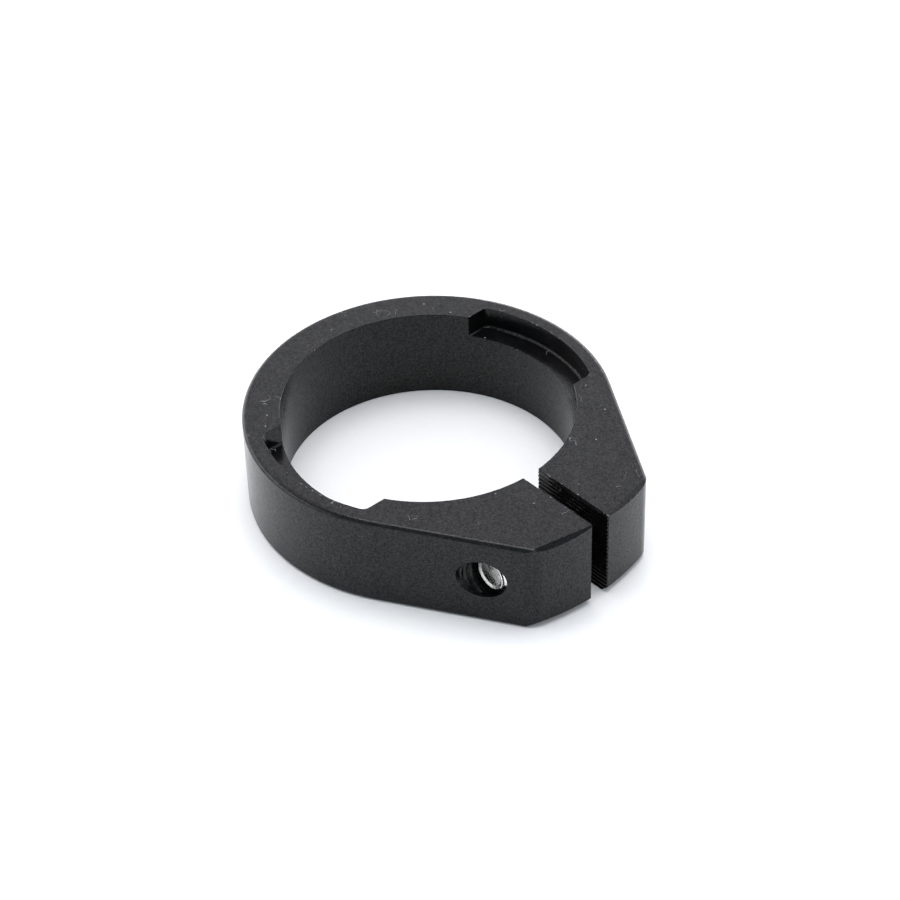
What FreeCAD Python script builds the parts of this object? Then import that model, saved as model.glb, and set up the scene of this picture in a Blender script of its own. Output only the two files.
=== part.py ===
import FreeCAD, Part
import math
import os

# Split shaft collar: a one-piece clamp ring closed by one M5 screw.
# Millimetres. The origin is on the bore axis at the bottom face, +Z runs
# along the bore, and +X points from the bore to the slit. The screw lies
# along Y, with its head on the +Y side of the slit.

Vector = FreeCAD.Vector

# Clamp ring
BORE_DIAMETER = 35.0
OUTER_DIAMETER = 43.9
HEIGHT = 11.8
TOP_EDGE_RADIUS = 0.6          # rounding of the outer edges, softer on top
BOTTOM_EDGE_RADIUS = 0.4
BORE_EDGE_BREAK = 0.05         # the bore's edges are left nearly sharp

# Lugs: tangent flats run from the round wall to an arc about the bore axis
FLAT_NORMAL_ANGLE = 58.4       # degrees from +X to the normal of each flat
LUG_END_RADIUS = 28.75
LUG_CORNER_RADIUS = 3.1        # upright corner between a flat and the end arc
TOP_CHAMFER_ANGLE = 11.5       # plan angle of each lug's straight top chamfer
TOP_CHAMFER_DISTANCE = 28.24   # bore axis to that chamfer's top edge
BOTTOM_CHAMFER = 0.85

# Sawn slit, with fine saw marks along both of its faces
SLIT_WIDTH = 2.4
SLIT_EDGE_BREAK = 0.15         # on its two upright edges at the end arc
SAW_MARK_PITCH = 0.56
SAW_MARK_WIDTH = 0.40
SAW_MARK_DEPTH = 0.10

# One straight pocket milled across the bore leaves two recesses in the top
POCKET_WIDTH = 18.4
POCKET_DIAMETER = 40.0
POCKET_DEPTH = 2.8
POCKET_CORNER_RADIUS = 1.0
POCKET_FLOOR_RADIUS = 0.3

# M5 x 16 low-head cap screw
SCREW_X = 22.15                # bore axis to screw axis
SCREW_Z = 6.2                  # a little above mid-height
SEAT_Y = 5.2                   # counterbore floor, which the head bears on
SCREW_LENGTH = 16.0
THREAD_DIAMETER = 4.94
THREAD_CORE_DIAMETER = 4.0
THREAD_PITCH = 0.8
THREAD_START_ANGLE = 261.0
TIP_RIM_DIAMETER = 3.8         # raised rim that rolling the thread leaves on the end
TIP_RIM_HALF_WIDTH = 0.08
TIP_RIM_DROP = 0.03            # from the rim's crest to its two sides
TIP_DISH_DIAMETER = 3.1
TIP_DISH_DEPTH = 0.14
THREAD_START = 0.3             # tip to the foot of the first thread
THREAD_RUN_IN = 0.2            # over this length the first thread rises to full height
HEAD_DIAMETER = 8.5
HEAD_HEIGHT = 3.5
HEAD_CHAMFER = 0.4
KNURL_TEETH = 48
KNURL_DEPTH = 0.12
HEX_ACROSS_FLATS = 3.0
HEX_DEPTH = 2.4

# Holes for the screw
TAPPED_DIAMETER = 5.1          # across the roots of the internal thread
TAPPED_CREST_DIAMETER = 4.7    # across its crests, which are shallow near the mouth
TAPPED_MOUTH = 0.5             # plain length of the hole before its thread begins
CLEARANCE_DIAMETER = 5.6
COUNTERBORE_DIAMETER = 9.2

BORE_RADIUS = BORE_DIAMETER / 2
OUTER_RADIUS = OUTER_DIAMETER / 2
OVERCUT = 5.0                  # how far cutting solids reach past the metal


def polar(radius, degrees, z=0.0):
    """Point at a radius and an angle from +X."""
    angle = math.radians(degrees)
    return Vector(radius * math.cos(angle), radius * math.sin(angle), z)


def mirrored(point):
    """The point on the other side of the slit plane."""
    return Vector(point.x, -point.y, point.z)


def prism(points, direction):
    """Solid swept straight from a closed polygon."""
    wire = Part.makePolygon(points + [points[0]])
    return Part.Face(wire).extrude(direction)


def revolved(points):
    """Solid turned about Z from a closed polygon of (radius, z) pairs."""
    corners = [Vector(radius, 0, z) for radius, z in points]
    face = Part.Face(Part.makePolygon(corners + [corners[0]]))
    return face.revolve(Vector(0, 0, 0), Vector(0, 0, 1), 360)


def cylinder_along_y(diameter, x, z, y_from, y_to):
    """Round bar between two Y positions."""
    return Part.makeCylinder(diameter / 2, y_to - y_from, Vector(x, y_from, z), Vector(0, 1, 0))


def outline_prism():
    """The collar's plan outline, solid and with sharp edges."""
    centre_radius = LUG_END_RADIUS - LUG_CORNER_RADIUS
    swing = math.degrees(math.acos((OUTER_RADIUS - LUG_CORNER_RADIUS) / centre_radius))
    corner_angle = FLAT_NORMAL_ANGLE - swing
    corner_centre = polar(centre_radius, corner_angle)
    tangent = polar(OUTER_RADIUS, FLAT_NORMAL_ANGLE)
    flat_end = corner_centre + polar(LUG_CORNER_RADIUS, FLAT_NORMAL_ANGLE)
    corner_middle = corner_centre + polar(LUG_CORNER_RADIUS, FLAT_NORMAL_ANGLE - swing / 2)
    arc_start = polar(LUG_END_RADIUS, corner_angle)
    edges = [
        Part.Arc(tangent, Vector(-OUTER_RADIUS, 0, 0), mirrored(tangent)).toShape(),
        Part.makeLine(mirrored(tangent), mirrored(flat_end)),
        Part.Arc(mirrored(flat_end), mirrored(corner_middle), mirrored(arc_start)).toShape(),
        Part.Arc(mirrored(arc_start), Vector(LUG_END_RADIUS, 0, 0), arc_start).toShape(),
        Part.Arc(arc_start, corner_middle, flat_end).toShape(),
        Part.makeLine(flat_end, tangent),
    ]
    return Part.Face(Part.Wire(edges)).extrude(Vector(0, 0, HEIGHT))


def rounded_blank():
    """Round wall and flats with rounded rims, the flats run on past the lugs."""
    tangent = polar(OUTER_RADIUS, FLAT_NORMAL_ANGLE)
    along = polar(1.0, FLAT_NORMAL_ANGLE - 90)
    far = tangent + along * (LUG_END_RADIUS - tangent.x + OVERCUT)
    edges = [
        Part.Arc(tangent, Vector(-OUTER_RADIUS, 0, 0), mirrored(tangent)).toShape(),
        Part.makeLine(mirrored(tangent), mirrored(far)),
        Part.makeLine(mirrored(far), far),
        Part.makeLine(far, tangent),
    ]
    solid = Part.Face(Part.Wire(edges)).extrude(Vector(0, 0, HEIGHT))
    for z, radius in ((HEIGHT, TOP_EDGE_RADIUS), (0, BOTTOM_EDGE_RADIUS)):
        rim = []
        for edge in solid.Edges:
            bounds = edge.BoundBox
            level = abs(bounds.ZMax - z) < 1e-6 and abs(bounds.ZMin - z) < 1e-6
            if level and bounds.XMin < far.x - 1e-3:
                rim.append(edge)
        solid = solid.makeFillet(radius, rim)
    return solid


def lug_top_chamfer(side):
    """Wedge for the straight chamfer on one lug; side is +1 or -1 in Y."""
    reach = 3.0
    middle = polar(TOP_CHAMFER_DISTANCE, side * TOP_CHAMFER_ANGLE)
    outward = polar(1.0, side * TOP_CHAMFER_ANGLE)
    along = Vector(-outward.y, outward.x, 0)
    start = middle - along * 8 + Vector(0, 0, HEIGHT)
    corners = [
        start + Vector(0, 0, reach) - outward * reach,
        start + Vector(0, 0, reach) + outward * reach,
        start - Vector(0, 0, reach) + outward * reach,
    ]
    half = Part.makeBox(40, 40, 40, Vector(0, 0 if side > 0 else -40, -10))
    return prism(corners, along * 16).common(half)


def lug_bottom_chamfer():
    """Ring that breaks the bottom edge of the end arc."""
    return revolved([
        (LUG_END_RADIUS - BOTTOM_CHAMFER - OVERCUT, -OVERCUT),
        (LUG_END_RADIUS + OVERCUT, -OVERCUT),
        (LUG_END_RADIUS + OVERCUT, BOTTOM_CHAMFER + OVERCUT),
    ])


def bore_cutter():
    """The bore, flared by the edge break at both ends."""
    wide = BORE_RADIUS + BORE_EDGE_BREAK + OVERCUT
    return revolved([
        (0, -OVERCUT),
        (wide, -OVERCUT),
        (BORE_RADIUS, BORE_EDGE_BREAK),
        (BORE_RADIUS, HEIGHT - BORE_EDGE_BREAK),
        (wide, HEIGHT + OVERCUT),
        (0, HEIGHT + OVERCUT),
    ])


def pocket_cutter():
    """Straight pocket across the bore, ended by arcs about its axis."""
    floor = HEIGHT - POCKET_DEPTH
    box = Part.makeBox(POCKET_WIDTH, 60, POCKET_DEPTH + 1, Vector(-POCKET_WIDTH / 2, -30, floor))
    disc = Part.makeCylinder(POCKET_DIAMETER / 2, POCKET_DEPTH + 1, Vector(0, 0, floor))
    pocket = box.common(disc)
    uprights = [edge for edge in pocket.Edges if edge.BoundBox.ZLength > POCKET_DEPTH]
    pocket = pocket.makeFillet(POCKET_CORNER_RADIUS, uprights)
    floor_edges = [edge for edge in pocket.Edges if edge.BoundBox.ZMax < floor + 1e-6]
    return pocket.makeFillet(POCKET_FLOOR_RADIUS, floor_edges)


def pocket_lip_cutter():
    """Edge break where the floor of each recess meets the bore."""
    floor = HEIGHT - POCKET_DEPTH
    ring = revolved([
        (BORE_RADIUS - 1, floor - BORE_EDGE_BREAK - 1),
        (BORE_RADIUS + BORE_EDGE_BREAK + 0.1, floor + 0.1),
        (BORE_RADIUS - 1, floor + 0.1),
    ])
    width = POCKET_WIDTH - 2 * POCKET_FLOOR_RADIUS
    return ring.common(Part.makeBox(width, 60, 10, Vector(-width / 2, -30, floor - 5)))


def slit_cutter():
    """The sawn slit; its sides carry one V groove per saw mark."""
    half = SLIT_WIDTH / 2
    count = int(HEIGHT / SAW_MARK_PITCH)
    first = (HEIGHT - (count - 1) * SAW_MARK_PITCH) / 2
    side = [(half, -OVERCUT)]
    for index in range(count):
        z = first + index * SAW_MARK_PITCH
        side.append((half, z - SAW_MARK_WIDTH / 2))
        side.append((half + SAW_MARK_DEPTH, z))
        side.append((half, z + SAW_MARK_WIDTH / 2))
    side.append((half, HEIGHT + OVERCUT))
    start_x = BORE_RADIUS - OVERCUT
    outline = [Vector(start_x, y, z) for y, z in side]
    outline += [Vector(start_x, -y, z) for y, z in reversed(side)]
    return prism(outline, Vector(LUG_END_RADIUS, 0, 0))


def slit_mouth_cutter():
    """Edge break on the slit's two upright edges at the end arc."""
    start_x = math.sqrt(LUG_END_RADIUS ** 2 - (SLIT_WIDTH / 2) ** 2) - SLIT_EDGE_BREAK
    points = [
        Vector(start_x, -SLIT_WIDTH / 2, -OVERCUT),
        Vector(start_x + OVERCUT, -SLIT_WIDTH / 2 - OVERCUT, -OVERCUT),
        Vector(start_x + OVERCUT, SLIT_WIDTH / 2 + OVERCUT, -OVERCUT),
        Vector(start_x, SLIT_WIDTH / 2, -OVERCUT),
    ]
    return prism(points, Vector(0, 0, HEIGHT + 2 * OVERCUT))


def thread_ridge(root_radius, crest_radius, length):
    """Helical ridge about Z, from z = 0 up; the crest may face in or out."""
    depth = crest_radius - root_radius
    foot = root_radius - math.copysign(0.08, depth)
    base = THREAD_PITCH * 0.40
    crest = THREAD_PITCH * 0.07
    corners = [
        Vector(foot, 0, -base),
        Vector(crest_radius, 0, -crest),
        Vector(crest_radius, 0, crest),
        Vector(foot, 0, base),
    ]
    profile = Part.makePolygon(corners + [corners[0]])
    path = Part.makeLongHelix(THREAD_PITCH, length, root_radius)
    ridge = Part.Wire(path).makePipeShell([profile], True, True)
    # Turned so that its joins miss the seams of the bars and holes it meets
    ridge.rotate(Vector(0, 0, 0), Vector(0, 0, 1), THREAD_START_ANGLE)
    return ridge


def stand_along_y(shape, y):
    """Turn a shape made about Z onto the screw axis, its z = 0 at this Y."""
    placed = shape.copy()
    placed.rotate(Vector(0, 0, 0), Vector(1, 0, 0), -90)
    placed.translate(Vector(SCREW_X, y, SCREW_Z))
    return placed


def open_thread(outline):
    """Thread left showing in the tapped lug, past the tip of the screw."""
    length = 4 * THREAD_PITCH
    ridge = thread_ridge(TAPPED_DIAMETER / 2, TAPPED_CREST_DIAMETER / 2, length)
    tip_y = SEAT_Y - SCREW_LENGTH
    metal = outline.copy()
    metal.translate(polar(-TAPPED_MOUTH, -FLAT_NORMAL_ANGLE))
    return stand_along_y(ridge, tip_y - length - THREAD_PITCH / 2 - 0.1).common(metal)


def clamp_ring():
    """The one-piece ring with its slit, lugs, recesses and screw holes."""
    outline = outline_prism()
    ring = rounded_blank().common(outline).cut([
        lug_top_chamfer(1),
        lug_top_chamfer(-1),
        lug_bottom_chamfer(),
        bore_cutter(),
        pocket_cutter(),
        pocket_lip_cutter(),
        slit_cutter(),
        slit_mouth_cutter(),
        cylinder_along_y(TAPPED_DIAMETER, SCREW_X, SCREW_Z, -OUTER_DIAMETER, 0),
        cylinder_along_y(CLEARANCE_DIAMETER, SCREW_X, SCREW_Z, 0, OUTER_DIAMETER),
        cylinder_along_y(COUNTERBORE_DIAMETER, SCREW_X, SCREW_Z, SEAT_Y, OUTER_DIAMETER),
    ])
    return ring.fuse(open_thread(outline)).removeSplitter()


def screw_shank():
    """Threaded shank; its end has a raised rim round a shallow dish."""
    core = THREAD_CORE_DIAMETER / 2
    crest = THREAD_DIAMETER / 2
    rim = TIP_RIM_DIAMETER / 2
    end = -SCREW_LENGTH
    shank = revolved([
        (0, end + TIP_DISH_DEPTH),
        (TIP_DISH_DIAMETER / 2, end + TIP_DISH_DEPTH),
        (rim - TIP_RIM_HALF_WIDTH, end + TIP_RIM_DROP),
        (rim, end),
        (rim + TIP_RIM_HALF_WIDTH, end + TIP_RIM_DROP),
        (core, end + 2 * TIP_RIM_DROP),
        (core, 0.2),
        (0, 0.2),
    ])
    envelope = revolved([
        (0, end + THREAD_START),
        (core, end + THREAD_START),
        (crest, end + THREAD_START + THREAD_RUN_IN),
        (crest, -THREAD_PITCH),
        (0, -THREAD_PITCH),
    ])
    ridge = thread_ridge(core, crest, SCREW_LENGTH)
    ridge.translate(Vector(0, 0, end - THREAD_PITCH / 2))
    return shank.fuse(ridge.common(envelope))


def screw_head():
    """Knurled low head with a hexagon socket."""
    radius = HEAD_DIAMETER / 2
    rim = []
    for tooth in range(KNURL_TEETH):
        angle = 360.0 * tooth / KNURL_TEETH
        rim.append(polar(radius, angle))
        rim.append(polar(radius - KNURL_DEPTH, angle + 180.0 / KNURL_TEETH))
    head = prism(rim, Vector(0, 0, HEAD_HEIGHT))
    head = head.common(revolved([
        (0, 0),
        (radius - HEAD_CHAMFER / 2, 0),
        (radius, HEAD_CHAMFER / 2),
        (radius, HEAD_HEIGHT - HEAD_CHAMFER),
        (radius - HEAD_CHAMFER, HEAD_HEIGHT),
        (0, HEAD_HEIGHT),
    ]))
    hex_radius = HEX_ACROSS_FLATS / math.sqrt(3)
    floor = HEAD_HEIGHT - HEX_DEPTH
    hexagon = [polar(hex_radius, 60 * corner, floor) for corner in range(6)]
    socket = prism(hexagon, Vector(0, 0, HEX_DEPTH + 1))
    lead_in = revolved([
        (0, HEAD_HEIGHT - 0.2),
        (hex_radius - 0.15, HEAD_HEIGHT - 0.2),
        (hex_radius + 0.85, HEAD_HEIGHT + 0.8),
        (0, HEAD_HEIGHT + 0.8),
    ])
    drill_point = revolved([(0, floor - 0.6), (HEX_ACROSS_FLATS / 2, floor + 0.01), (0, floor + 0.01)])
    return head.cut([socket, lead_in, drill_point])


def clamp_screw():
    """The whole screw on its axis, head down on the counterbore floor."""
    screw = screw_head().fuse(screw_shank()).removeSplitter()
    return stand_along_y(screw, SEAT_Y)


def main():
    os.makedirs("parts", exist_ok=True)
    parts = {
        "clamp_ring": clamp_ring(),
        "clamp_screw": clamp_screw(),
    }
    for name, shape in parts.items():
        shape.exportStep("parts/" + name + ".step")
        print(name, "solids", len(shape.Solids), "valid", shape.isValid(), "volume", round(shape.Volume, 1))


main()
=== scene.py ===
import math

import bpy
from mathutils import Matrix, Vector

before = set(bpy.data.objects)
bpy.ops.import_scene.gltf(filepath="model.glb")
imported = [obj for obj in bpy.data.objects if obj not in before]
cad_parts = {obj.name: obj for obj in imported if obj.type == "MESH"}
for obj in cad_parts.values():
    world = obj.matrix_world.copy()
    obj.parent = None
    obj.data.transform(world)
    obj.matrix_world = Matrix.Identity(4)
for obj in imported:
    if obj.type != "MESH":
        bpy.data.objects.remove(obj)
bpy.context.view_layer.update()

# Metres and degrees throughout. Noise scales are in features per metre.

# Camera: the same direction, distance and lens as the photograph.
VIEW_AZIMUTH = 48.81
VIEW_ELEVATION = 39.74
VIEW_ROLL = -1.75
VIEW_DISTANCE = 0.3066
VIEW_AIM = Vector((0.002038, 0.001418, 0.005178))
LENS_MM = 102.95
SENSOR_MM = 36.0

# Studio: a white room, dark behind the camera, with a soft box overhead.
# A pair gives the two levels between which an effect comes in.
FRONT_TO_BACK = (-0.45, 0.35)       # cosines to the line away from the camera
LIT_SIDES = (-0.7, -0.2)            # the same, for the lit lower walls
RIGHT_SIDE = (0.6, 0.95)            # cosines to the line to the right
FRONT_COLOR = (0.50, 0.56, 0.62)
BACK_COLOR = (1.54, 1.55, 1.63)
HORIZON_COLOR = (3.4, 3.4, 3.4)     # the lit lower part of the back and side walls
HORIZON_HEIGHTS = (0.4848, 0.1)     # sines of the elevations where it begins and is full
HORIZON_RIGHT = 0.6                 # how much of it is left on the right
SOFTBOX_COLOR = (4.9, 4.9, 4.9)
SOFTBOX_TILT = 4.0                  # from straight up, away from the camera
SOFTBOX_INNER = 15.0                # half angle of its full brightness
SOFTBOX_OUTER = 25.0                # half angle where it has faded out

# Anodised aluminium
BLACK = (0.0022, 0.0023, 0.0025)
BLACK_FADED = (0.0045, 0.0045, 0.0048)
WORN_ALUMINIUM = (0.30, 0.30, 0.305)
DUST = (0.20, 0.20, 0.205)
COAT_IOR = 1.34
GRAIN_SCALE = 5200
PIT_SCALE = 2400
PIT_SHARE = 0.8                     # height of the pits against the grain's
GRAIN_SHARE = 0.75                  # of the grain against the pits in how a point reflects
GRAIN_LEVELS = (0.32, 0.68)
BLOTCH_SCALE = 420
BLOTCH_LEVELS = (0.35, 0.65)
BLAST_DEPTH = 8.0e-6                # height of the bead-blasted grain
COAT_LEVELS = (0.3, 0.7)
COAT_SMOOTH = 0.17                  # roughness between blotches, and on them
COAT_ROUGH = 0.21
WORN_ROUGHER = 0.2                  # added to the roughness where the coat is worn
DUST_ROUGHER = 0.6                  # and where dust lies
GRAIN_DULL = 0.25                   # reflection of the dullest grains
GRAIN_BRIGHT = 0.75                 # and of the brightest
WEAR_REACH = 0.00016                # how far the wear runs in from an edge
WEAR_LEVELS = (0.15, 0.4)
CHIP_SCALE = 2200
CHIP_LEVELS = (0.56, 0.62)
CHIP_PATCH_SCALE = 160              # the chips come in patches
CHIP_PATCH_LEVELS = (0.50, 0.60)
# Painted shade: the coat's reflection is dimmed in the slit, the recesses and the holes, where another
# face lies close in front.
PAINTED_SHADE_REACH = 0.006               # a face with another this close in front of it is sheltered
PAINTED_SHADE_LEVELS = (0.25, 0.6)        # open share of the view, from sheltered to open
PAINTED_SHADE_DEEPEST = 0.12                 # reflection left in the most sheltered places

# Dust on the ring
SPECK_SCALE = 620                   # cells per metre; some cells hold a speck
SPECK_RADII = (0.08, 0.045)         # its faint edge and its solid core, in cells
SPECK_CHOICE = (0.58, 0.64)         # random value above which a cell holds one
FIBRE_SCALE = 620
FIBRE_WIDTHS = (0.007, 0.002)       # distance from the noise's middle level
FIBRE_PATCH_SCALE = 330
FIBRE_PATCH_LEVELS = (0.705, 0.73)
UPWARD = (0.3, 0.9)                 # upright part of the normal, from wall to top
DUST_ON_WALLS = 0.12                # share of it that stays on upright faces

# Zinc plate
ZINC = (0.93, 0.93, 0.90)
ZINC_DULL = (0.70, 0.70, 0.67)
HAZE_SCALE = 900
HAZE_COLOR_LEVELS = (0.38, 0.66)
HAZE_LEVELS = (0.35, 0.7)
ZINC_SMOOTH = 0.22
ZINC_ROUGH = 0.38
SCRATCH_SCALE = 5200
SCRATCH_DEPTH = 1.5e-6

# Floor paper
PAPER_DARK = (0.88, 0.88, 0.88)
PAPER_LIGHT = (0.92, 0.92, 0.92)
TOOTH_SCALE = 1500
FLOOR_SIZE = 4.0
FLOOR_GAP = 0.00003                 # below the part, so that the two faces don't coincide


def view_axes():
    """Unit vectors towards the camera, to its right and up, before the roll."""
    azimuth = math.radians(VIEW_AZIMUTH)
    elevation = math.radians(VIEW_ELEVATION)
    back = Vector((
        math.sin(azimuth) * math.cos(elevation),
        -math.cos(azimuth) * math.cos(elevation),
        math.sin(elevation),
    ))
    right = Vector((math.cos(azimuth), math.sin(azimuth), 0.0))
    return back, right, back.cross(right)


def add_camera():
    """Camera at the photograph's viewing angle."""
    back, right, up = view_axes()
    axes = Matrix((right, up, back)).transposed()
    turn = Matrix.Rotation(math.radians(VIEW_ROLL), 3, "Z")
    data = bpy.data.cameras.new("camera")
    data.lens = LENS_MM
    data.sensor_width = SENSOR_MM
    camera = bpy.data.objects.new("camera", data)
    bpy.context.collection.objects.link(camera)
    camera.matrix_world = Matrix.Translation(VIEW_AIM + back * VIEW_DISTANCE) @ (axes @ turn).to_4x4()
    bpy.context.scene.camera = camera


def connect(tree, value, socket):
    """Link an output to a socket, or set the socket to a plain value."""
    if isinstance(value, bpy.types.NodeSocket):
        tree.links.new(value, socket)
    else:
        socket.default_value = value


def math_node(tree, operation, a, b=0.0):
    """One arithmetic step."""
    node = tree.nodes.new("ShaderNodeMath")
    node.operation = operation
    connect(tree, a, node.inputs[0])
    connect(tree, b, node.inputs[1])
    return node.outputs["Value"]


def remap(tree, value, start, end, low=0.0, high=1.0):
    """Smooth step of a value from low at start to high at end."""
    node = tree.nodes.new("ShaderNodeMapRange")
    node.interpolation_type = "SMOOTHSTEP"
    connect(tree, value, node.inputs["Value"])
    node.inputs["From Min"].default_value = start
    node.inputs["From Max"].default_value = end
    node.inputs["To Min"].default_value = low
    node.inputs["To Max"].default_value = high
    return node.outputs["Result"]


def blend(tree, factor, first, second):
    """Mix of two colours, each a tuple or another node's output."""
    node = tree.nodes.new("ShaderNodeMix")
    node.data_type = "RGBA"
    for name, color in (("A", first), ("B", second)):
        if isinstance(color, tuple):
            color = color + (1.0,)
        connect(tree, color, node.inputs[name])
    connect(tree, factor, node.inputs["Factor"])
    return node.outputs["Result"]


def noise(tree, coords, scale, detail=2.0, roughness=0.5):
    """Fractal noise, about 0.5 on average."""
    node = tree.nodes.new("ShaderNodeTexNoise")
    node.inputs["Scale"].default_value = scale
    node.inputs["Detail"].default_value = detail
    node.inputs["Roughness"].default_value = roughness
    tree.links.new(coords, node.inputs["Vector"])
    return node.outputs["Fac"]


def facing(tree, coords, direction):
    """Cosine of the angle between a vector and a fixed direction."""
    node = tree.nodes.new("ShaderNodeVectorMath")
    node.operation = "DOT_PRODUCT"
    node.inputs[1].default_value = direction
    tree.links.new(coords, node.inputs[0])
    return node.outputs["Value"]


def add_world():
    """White room, dark behind the camera, with the soft box overhead."""
    world = bpy.data.worlds.new("studio")
    world.use_nodes = True
    tree = world.node_tree
    ray = tree.nodes.new("ShaderNodeTexCoord").outputs["Generated"]
    _, right, _ = view_axes()
    away = Vector((-right.y, right.x, 0.0))
    up = Vector((0.0, 0.0, 1.0))
    tilt = math.radians(SOFTBOX_TILT)
    softbox = up * math.cos(tilt) + away * math.sin(tilt)
    depth = facing(tree, ray, away)
    color = blend(tree, remap(tree, depth, *FRONT_TO_BACK), FRONT_COLOR, BACK_COLOR)
    horizon = remap(tree, facing(tree, ray, up), *HORIZON_HEIGHTS)
    dimmed = remap(tree, facing(tree, ray, right), *RIGHT_SIDE, 1.0, HORIZON_RIGHT)
    lit_half = remap(tree, depth, *LIT_SIDES)
    horizon = math_node(tree, "MULTIPLY", horizon, math_node(tree, "MULTIPLY", dimmed, lit_half))
    color = blend(tree, horizon, color, HORIZON_COLOR)
    edge = math.cos(math.radians(SOFTBOX_OUTER))
    middle = math.cos(math.radians(SOFTBOX_INNER))
    color = blend(tree, remap(tree, facing(tree, ray, softbox), edge, middle), color, SOFTBOX_COLOR)
    tree.links.new(color, tree.nodes["Background"].inputs["Color"])
    bpy.context.scene.world = world


def new_material(name):
    """Empty node material: its tree, its shader and object coordinates."""
    material = bpy.data.materials.new(name)
    material.use_nodes = True
    tree = material.node_tree
    coords = tree.nodes.new("ShaderNodeTexCoord").outputs["Object"]
    return material, tree, tree.nodes["Principled BSDF"], coords


def add_bump(tree, height, depth, shader):
    """Bump of the given depth on a shader."""
    bump = tree.nodes.new("ShaderNodeBump")
    bump.inputs["Strength"].default_value = 1.0
    bump.inputs["Distance"].default_value = depth
    tree.links.new(height, bump.inputs["Height"])
    tree.links.new(bump.outputs["Normal"], shader.inputs["Normal"])


def outer_edges(tree, reach):
    """1 at a convex edge, fading to 0 within the reach: rays cast inward hit the next face."""
    node = tree.nodes.new("ShaderNodeAmbientOcclusion")
    node.inside = True
    node.only_local = True
    node.samples = 6
    node.inputs["Distance"].default_value = reach
    return math_node(tree, "SUBTRACT", 1.0, node.outputs["AO"])


def painted_shade_in_hollows(tree):
    """1 in the open, less inside the slit, the recesses and the holes: painted shade that dims the coat's
    reflection there.
    """
    node = tree.nodes.new("ShaderNodeAmbientOcclusion")
    node.only_local = True
    node.samples = 8
    node.inputs["Distance"].default_value = PAINTED_SHADE_REACH
    return remap(tree, node.outputs["AO"], *PAINTED_SHADE_LEVELS, PAINTED_SHADE_DEEPEST, 1.0)


def dust(tree, coords):
    """Specks and short curled fibres that lie on the faces that look up."""
    cells = tree.nodes.new("ShaderNodeTexVoronoi")
    cells.inputs["Scale"].default_value = SPECK_SCALE
    tree.links.new(coords, cells.inputs["Vector"])
    speck = remap(tree, cells.outputs["Distance"], *SPECK_RADII)
    chosen = remap(tree, cells.outputs["Color"], *SPECK_CHOICE)
    specks = math_node(tree, "MULTIPLY", speck, chosen)
    line = math_node(tree, "SUBTRACT", noise(tree, coords, FIBRE_SCALE, 1.0), 0.5)
    line = remap(tree, math_node(tree, "ABSOLUTE", line), *FIBRE_WIDTHS)
    where = remap(tree, noise(tree, coords, FIBRE_PATCH_SCALE, 0.0), *FIBRE_PATCH_LEVELS)
    fibres = math_node(tree, "MULTIPLY", line, where)
    normal = tree.nodes.new("ShaderNodeNewGeometry").outputs["Normal"]
    level = remap(tree, facing(tree, normal, (0.0, 0.0, 1.0)), *UPWARD, DUST_ON_WALLS, 1.0)
    return math_node(tree, "MULTIPLY", math_node(tree, "MAXIMUM", specks, fibres), level)


def edge_wear(tree, coords):
    """Chips in the coat along the outer edges, here and there."""
    edges = remap(tree, outer_edges(tree, WEAR_REACH), *WEAR_LEVELS)
    chips = remap(tree, noise(tree, coords, CHIP_SCALE, 3.0, 0.7), *CHIP_LEVELS)
    patches = remap(tree, noise(tree, coords, CHIP_PATCH_SCALE, 1.0), *CHIP_PATCH_LEVELS)
    return math_node(tree, "MULTIPLY", edges, math_node(tree, "MULTIPLY", chips, patches))


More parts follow.
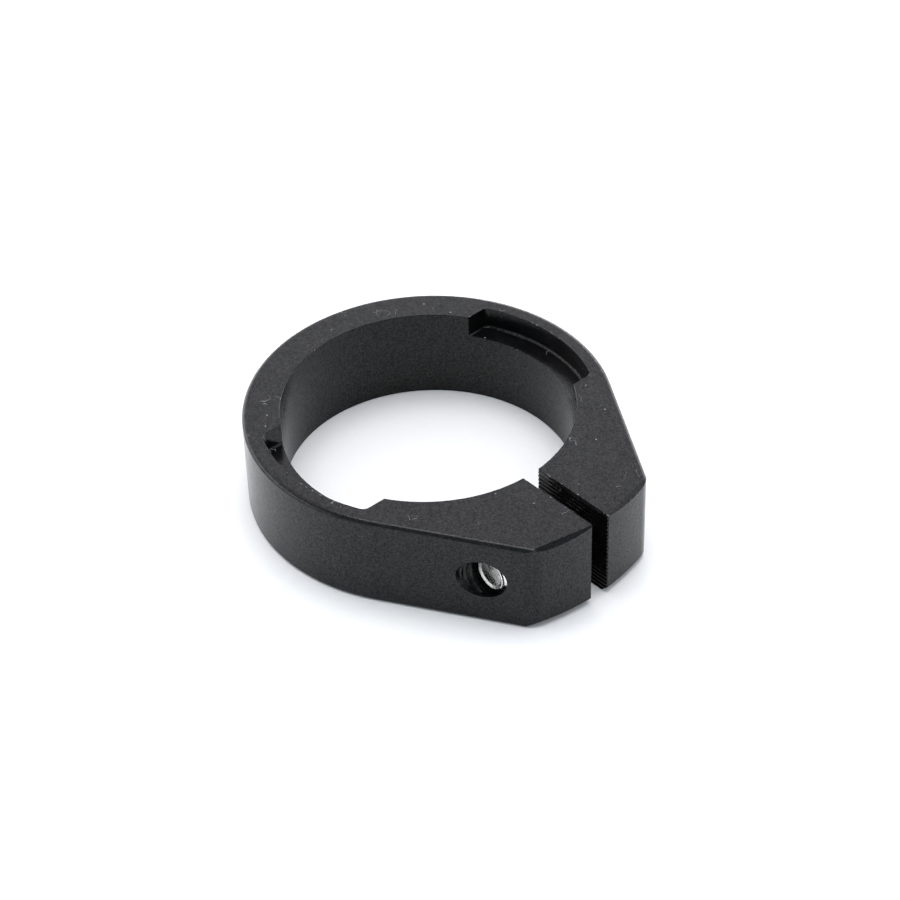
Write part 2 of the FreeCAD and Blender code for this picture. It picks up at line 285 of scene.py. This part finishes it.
def anodised():
    """Bead-blasted, black anodised aluminium with worn edges, a little dust and painted shade in its
    hollows.
    """
    material, tree, shader, coords = new_material("black_anodise")
    grain = noise(tree, coords, GRAIN_SCALE, 2.0, 0.6)
    pits = noise(tree, coords, PIT_SCALE, 2.0)
    height = math_node(tree, "ADD", grain, math_node(tree, "MULTIPLY", pits, PIT_SHARE))
    blotches = noise(tree, coords, BLOTCH_SCALE, 4.0, 0.6)
    color = blend(tree, remap(tree, blotches, *BLOTCH_LEVELS), BLACK, BLACK_FADED)
    wear = edge_wear(tree, coords)
    color = blend(tree, wear, color, WORN_ALUMINIUM)
    dirt = dust(tree, coords)
    color = blend(tree, dirt, color, DUST)
    roughness = remap(tree, blotches, *COAT_LEVELS, COAT_SMOOTH, COAT_ROUGH)
    roughness = math_node(tree, "ADD", roughness, math_node(tree, "MULTIPLY", wear, WORN_ROUGHER))
    roughness = math_node(tree, "ADD", roughness, math_node(tree, "MULTIPLY", dirt, DUST_ROUGHER))
    tree.links.new(color, shader.inputs["Base Color"])
    tree.links.new(roughness, shader.inputs["Roughness"])
    fine = math_node(tree, "MULTIPLY", grain, GRAIN_SHARE)
    coarse = math_node(tree, "MULTIPLY", pits, 1.0 - GRAIN_SHARE)
    gloss = math_node(tree, "ADD", fine, coarse)
    gloss = remap(tree, gloss, *GRAIN_LEVELS, GRAIN_DULL, GRAIN_BRIGHT)
    # The grain's reflection, dimmed by painted shade in the slit, the recesses and the holes.
    tree.links.new(math_node(tree, "MULTIPLY", gloss, painted_shade_in_hollows(tree)), shader.inputs["Specular IOR Level"])
    shader.inputs["IOR"].default_value = COAT_IOR
    add_bump(tree, height, BLAST_DEPTH, shader)
    return material


def zinc():
    """Bright zinc plate, hazy in patches."""
    material, tree, shader, coords = new_material("zinc_plate")
    haze = noise(tree, coords, HAZE_SCALE, 4.0, 0.6)
    scratches = noise(tree, coords, SCRATCH_SCALE, 3.0, 0.7)
    color = blend(tree, remap(tree, haze, *HAZE_COLOR_LEVELS), ZINC, ZINC_DULL)
    tree.links.new(color, shader.inputs["Base Color"])
    tree.links.new(remap(tree, haze, *HAZE_LEVELS, ZINC_SMOOTH, ZINC_ROUGH), shader.inputs["Roughness"])
    shader.inputs["Metallic"].default_value = 1.0
    add_bump(tree, scratches, SCRATCH_DEPTH, shader)
    return material


def floor_paper():
    """White studio paper with a faint tooth."""
    material, tree, shader, coords = new_material("floor_paper")
    tooth = noise(tree, coords, TOOTH_SCALE, 3.0)
    tree.links.new(blend(tree, tooth, PAPER_DARK, PAPER_LIGHT), shader.inputs["Base Color"])
    shader.inputs["Roughness"].default_value = 0.9
    return material


def add_floor():
    """Plain pale floor, a hair below the part."""
    bpy.ops.mesh.primitive_plane_add(size=FLOOR_SIZE, location=(0, 0, -FLOOR_GAP))
    floor = bpy.context.active_object
    floor.name = "floor"
    floor.data.materials.append(floor_paper())


def paint(node, material):
    """Give a CAD node a material."""
    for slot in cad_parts[node].material_slots:
        slot.material = material


paint("clamp_ring", anodised())
paint("clamp_screw", zinc())
add_floor()
add_world()
add_camera()
bpy.context.scene.view_settings.view_transform = "Standard"
